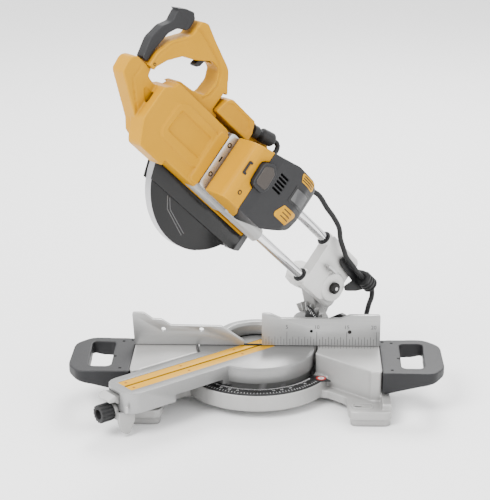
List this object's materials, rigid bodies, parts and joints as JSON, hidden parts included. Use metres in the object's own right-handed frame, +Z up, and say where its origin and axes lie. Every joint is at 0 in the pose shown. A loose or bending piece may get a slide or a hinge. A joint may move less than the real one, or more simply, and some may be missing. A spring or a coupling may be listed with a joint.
{
  "type": "sliding compound mitre saw",
  "caption": "Sliding compound mitre saw: a turntable and slotted arm on a cast base, a fence, and a hinged saw head on twin slide rails with motor, blade, guards, handle and cord.",
  "frame": {"origin": "on the bench, on the mitre axis, at the flat underside of the base's central boss", "axes": "+X to the operator's right along the fence, +Y away from the operator, +Z up"},
  "size_m": [0.614, 0.4466, 0.6694],
  "materials": {
    "cast": "satin silver paint over a casting",
    "machined": "machined, fine streaks",
    "yellow_plastic": "moulded, satin gloss",
    "dark_plastic": "moulded, matt",
    "black_plastic": "moulded, glossy black",
    "chrome": "hard chromed and ground",
    "steel": "bright",
    "black_steel": "oxide blacked",
    "copper": "copper windings and laminated iron",
    "rubber": "matt black"
  },
  "bodies": {
    "base": {"base_casting": "cast", "mitre_scale_plate": "black_plastic", "fence": "machined", "side_handle_right": "dark_plastic", "side_handle_left": "dark_plastic", "pivot_bolt": "steel", "mains_cord": "rubber", "cord_coil": "rubber", "mains_plug": "black_plastic"},
    "turntable": {"turntable": "machined", "front_bracket": "cast", "kerf_insert_right": "yellow_plastic", "kerf_insert_left": "yellow_plastic", "bevel_scale": "black_plastic"},
    "mitre_lock": {"mitre_lock_knob": "rubber"},
    "mitre_latch": {"mitre_latch_lever": "cast"},
    "detent": {"detent_pin": "black_steel"},
    "bevel_support": {"bevel_support": "cast", "bevel_clamp_bolt": "steel"},
    "bevel_lock": {"bevel_lock_lever": "black_plastic"},
    "carrier": {"rail_carrier": "cast", "rail_bush_upper_front": "black_steel", "rail_bush_upper_rear": "black_steel", "rail_bush_lower_front": "black_steel", "rail_bush_lower_rear": "black_steel", "hinge_pin": "black_steel", "lift_spring": "steel", "cable_guide": "black_plastic"},
    "slide_lock": {"slide_lock_knob": "steel"},
    "head": {"upper_rail": "chrome", "lower_rail": "chrome", "gear_case": "cast", "motor_flange": "steel", "motor_housing": "yellow_plastic", "motor_end_cap": "dark_plastic", "stator": "steel", "motor_bearing": "steel", "arbor_bearing": "steel", "fixed_guard": "black_plastic", "chip_deflector": "dark_plastic", "upper_guard": "yellow_plastic", "main_handle": "yellow_plastic", "motor_cord": "rubber", "switch_cable_gland": "rubber"},
    "arbor": {"saw_blade": "steel", "arbor_spindle": "black_steel", "inner_flange": "steel", "outer_flange": "steel", "arbor_bolt": "black_steel", "drive_gear": "steel"},
    "layshaft": {"layshaft_gears": "steel"},
    "armature": {"armature": "copper"},
    "lower_guard": {"lower_guard": "black_plastic"},
    "trigger": {"trigger": "dark_plastic"},
    "guard_release": {"guard_release_lever": "dark_plastic"},
    "spindle_lock": {"spindle_lock_button": "black_plastic"}
  },
  "joints": [
    {"name": "mitre", "type": "hinge", "parent": "base", "child": "turntable", "pos_m": [0, 0, 0], "axis": [0, 0, 1], "range_deg": [0, 100], "deforming": ["mains_cord"]},
    {"name": "bevel", "type": "hinge", "parent": "turntable", "child": "bevel_support", "pos_m": [0, 0, 0.078], "axis": [0.766, 0.6428, 0], "range_deg": [-48, 0]},
    {"name": "chop", "type": "hinge", "parent": "bevel_support", "child": "carrier", "pos_m": [0.10035, 0.08421, 0.164], "axis": [0.6428, -0.766, 0], "range_deg": [0, 44], "stiffness_Nm_per_rad": 12, "springref_deg": -95.68},
    {"name": "slide", "type": "slide", "parent": "carrier", "child": "head", "axis": [-0.551, -0.4624, 0.6947], "range_m": [-0.125, 0], "deforming": ["motor_cord"]},
    {"name": "blade_spin", "type": "hinge", "parent": "head", "child": "arbor", "pos_m": [-0.07762, -0.06513, 0.38696], "axis": [0.6428, -0.766, 0], "continuous": true},
    {"name": "layshaft_spin", "type": "hinge", "parent": "head", "child": "layshaft", "pos_m": [-0.05367, -0.04503, 0.41933], "axis": [0.6428, -0.766, 0], "continuous": true},
    {"name": "armature_spin", "type": "hinge", "parent": "head", "child": "armature", "pos_m": [0.16694, 0.05131, 0.19493], "axis": [0.551, 0.4624, -0.6947], "continuous": true},
    {"name": "lower_guard", "type": "hinge", "parent": "head", "child": "lower_guard", "pos_m": [-0.07762, -0.06513, 0.38696], "axis": [0.6428, -0.766, 0], "range_deg": [-142, 0]},
    {"name": "trigger", "type": "hinge", "parent": "head", "child": "trigger", "pos_m": [-0.07363, -0.07745, 0.5849], "axis": [-0.6428, 0.766, 0], "range_deg": [0, 7], "stiffness_Nm_per_rad": 2, "springref_deg": -5.73},
    {"name": "guard_release", "type": "hinge", "parent": "head", "child": "guard_release", "pos_m": [-0.16489, -0.15402, 0.60262], "axis": [-0.6428, 0.766, 0], "range_deg": [0, 3], "stiffness_Nm_per_rad": 4, "springref_deg": -5.73},
    {"name": "spindle_lock", "type": "slide", "parent": "head", "child": "spindle_lock", "axis": [-0.5321, -0.4465, -0.7193], "range_m": [0, 0.003], "stiffness_N_per_m": 1500, "springref_m": -0.002},
    {"name": "mitre_lock", "type": "hinge", "parent": "turntable", "child": "mitre_lock", "pos_m": [-0.22831, -0.18374, 0.0407], "axis": [-0.766, -0.6428, 0], "range_deg": [0, 270]},
    {"name": "mitre_latch", "type": "hinge", "parent": "turntable", "child": "mitre_latch", "pos_m": [-0.2158, -0.17064, 0.064], "axis": [-0.6428, 0.766, 0], "range_deg": [0, 10], "stiffness_Nm_per_rad": 3, "springref_deg": -11.46},
    {"name": "detent", "type": "slide", "parent": "turntable", "child": "detent", "axis": [-0.766, -0.6428, 0], "range_m": [0, 0.0051]},
    {"name": "bevel_lock", "type": "hinge", "parent": "bevel_support", "child": "bevel_lock", "pos_m": [0.10901, 0.09147, 0.078], "axis": [0.766, 0.6428, 0], "range_deg": [0, 45]},
    {"name": "slide_lock", "type": "hinge", "parent": "carrier", "child": "slide_lock", "pos_m": [0.11959, 0.04709, 0.20062], "axis": [0.6428, -0.766, 0], "range_deg": [0, 90]}
  ],
  "couplings": [
    {"joint": "lower_guard", "follows": "chop", "ratio": -3.2},
    {"joint": "layshaft_spin", "follows": "blade_spin", "ratio": -0.91667},
    {"joint": "armature_spin", "follows": "blade_spin", "ratio": 1.5583},
    {"joint": "detent", "follows": "mitre_latch", "m_per_rad": 0.0286}
  ]
}
